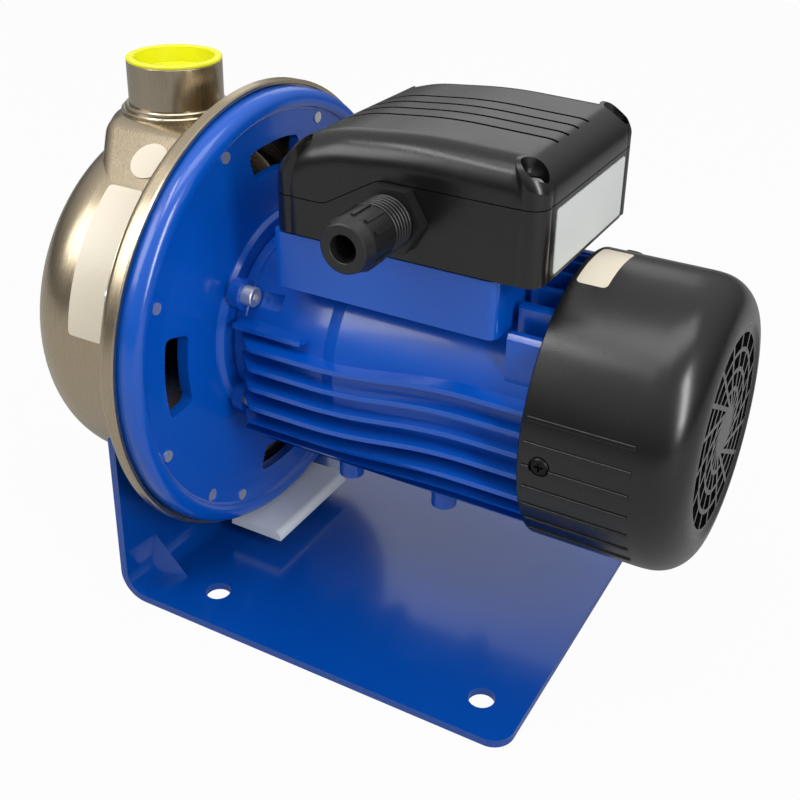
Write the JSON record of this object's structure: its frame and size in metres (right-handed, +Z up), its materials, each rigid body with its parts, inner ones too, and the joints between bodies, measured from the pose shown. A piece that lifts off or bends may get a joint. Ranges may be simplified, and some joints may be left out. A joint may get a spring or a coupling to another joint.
{
  "type": "centrifugal pump",
  "caption": "Close-coupled centrifugal pump: drawn steel casing with top outlet and front inlet, finned fan-cooled motor, terminal box, bent base plate.",
  "frame": {"origin": "centre of the base's four bolt holes, on the underside of the base plate", "axes": "+Z up, through the base; -X towards the suction port along the shaft line; +Y across, away from the cable gland"},
  "size_m": [0.312, 0.207, 0.2267],
  "materials": {
    "stainless": "satin",
    "blue_paint": "gloss",
    "cast_aluminium": "cast, matt",
    "black_plastic": "satin",
    "white_plastic": "matt",
    "yellow_plastic": "satin",
    "grey_rubber": "matt",
    "black_rubber": "matt",
    "zinc_steel": "zinc plated",
    "bearing_steel": "ground",
    "core_steel": "varnished laminations",
    "copper": "varnished copper wire",
    "ceramic": "lapped",
    "carbon": "carbon graphite",
    "wear_plastic": "moulded",
    "brass": "turned"
  },
  "bodies": {
    "pump": {"base_plate": "blue_paint", "support_block": "grey_rubber", "leg_sleeves": "zinc_steel", "leg_screws": "zinc_steel", "pump_casing": "stainless", "discharge_nozzle": "stainless", "suction_nozzle": "stainless", "seal_housing": "stainless", "casing_o_ring": "black_rubber", "clamp_screws": "zinc_steel", "wear_ring": "wear_plastic", "seal_seat": "ceramic", "seal_boot": "black_rubber", "motor_adapter": "blue_paint", "flange_screws": "zinc_steel", "motor_frame": "blue_paint", "stator_core": "core_steel", "stator_winding": "copper", "front_bearing": "bearing_steel", "rear_bearing": "bearing_steel", "rear_end_shield": "cast_aluminium", "fan_cover": "black_plastic", "fan_cover_screws": "zinc_steel", "box_gasket": "black_rubber", "terminal_box": "black_plastic", "terminal_box_lid": "black_plastic", "lid_screws": "zinc_steel", "capacitor": "white_plastic", "terminal_block": "white_plastic", "terminal_studs": "brass", "gland_body": "black_plastic", "gland_seal": "black_rubber"},
    "rotor": {"shaft": "bearing_steel", "rotor_core": "core_steel", "impeller": "stainless", "impeller_nut": "stainless", "seal_head": "carbon", "slinger": "black_rubber", "fan": "white_plastic"},
    "cap": {"discharge_cap": "yellow_plastic"},
    "gland_nut_body": {"gland_nut": "black_plastic"},
    "fill_plug_body": {"fill_plug": "stainless"},
    "drain_plug_body": {"drain_plug": "stainless"}
  },
  "joints": [
    {"name": "rotor_spin", "type": "hinge", "parent": "pump", "child": "rotor", "pos_m": [0, 0, 0.117], "axis": [1, 0, 0], "continuous": true},
    {"name": "cap_lift", "type": "slide", "parent": "pump", "child": "cap", "axis": [0, 0, 1], "range_m": [0, 0.08]},
    {"name": "gland_nut_turn", "type": "hinge", "parent": "pump", "child": "gland_nut_body", "pos_m": [0.013, -0.07, 0.196], "axis": [0, -1, 0], "range_deg": [0, 720]},
    {"name": "fill_plug_out", "type": "slide", "parent": "pump", "child": "fill_plug_body", "axis": [-1, 0, 0], "range_m": [0, 0.015]},
    {"name": "drain_plug_out", "type": "slide", "parent": "pump", "child": "drain_plug_body", "axis": [-1, 0, 0], "range_m": [0, 0.015]}
  ]
}
